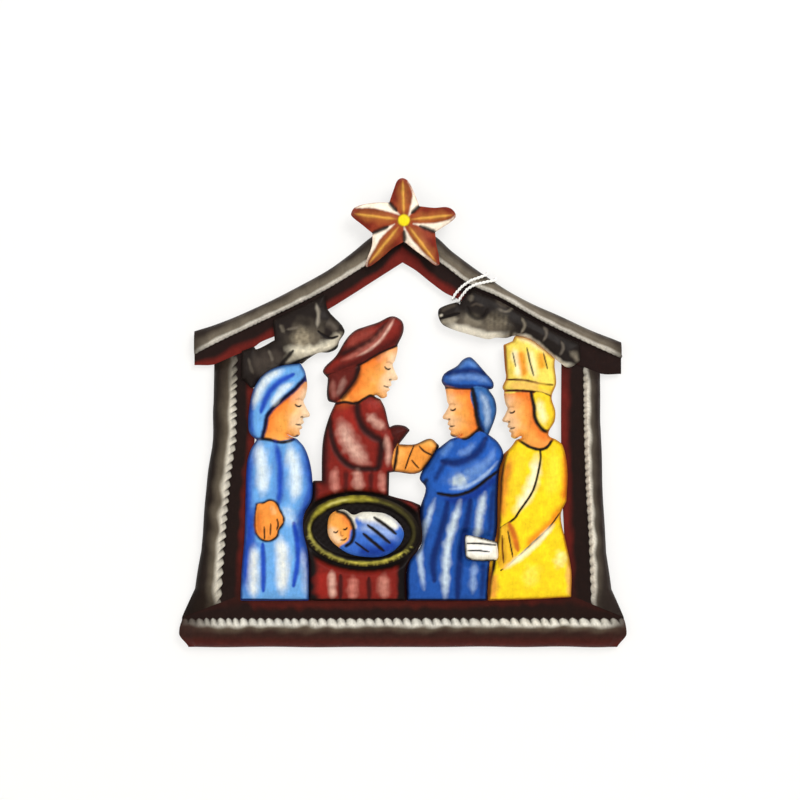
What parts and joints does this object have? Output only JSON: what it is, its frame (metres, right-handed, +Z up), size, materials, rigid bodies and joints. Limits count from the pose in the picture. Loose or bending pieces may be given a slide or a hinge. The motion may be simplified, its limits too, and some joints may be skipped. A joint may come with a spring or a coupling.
{
  "type": "house-shaped nativity wall plaque",
  "caption": "House-shaped wall plaque of hammered, crimped sheet steel with painted nativity figures, animals, a manger and a ridge star in relief.",
  "frame": {"origin": "on the wall plane, at the middle of the back of the base rail's flat flange", "axes": "+Z up the wall, +Y into the wall, so the painted front faces -Y, and X across the plaque"},
  "size_m": [0.2554, 0.0137, 0.2673],
  "materials": {
    "charcoal": "satin",
    "grey": "satin",
    "russet": "satin",
    "sky": "satin",
    "maroon": "satin",
    "royal": "satin",
    "yellow": "satin",
    "olive": "satin",
    "cream": "satin",
    "cotton": "matte"
  },
  "bodies": {
    "root": {"base_rail": "charcoal", "post_left": "charcoal", "post_right": "charcoal", "roof_beam_left": "charcoal", "roof_beam_right": "charcoal", "ridge_star": "russet", "ox_head": "grey", "donkey_head": "grey", "mother_figure": "sky", "father_figure": "maroon", "blue_robed_king": "royal", "crowned_king": "yellow", "manger_basket": "olive", "swaddled_baby": "cream", "gift_box": "cream", "string_loop": "cotton"}
  },
  "joints": []
}
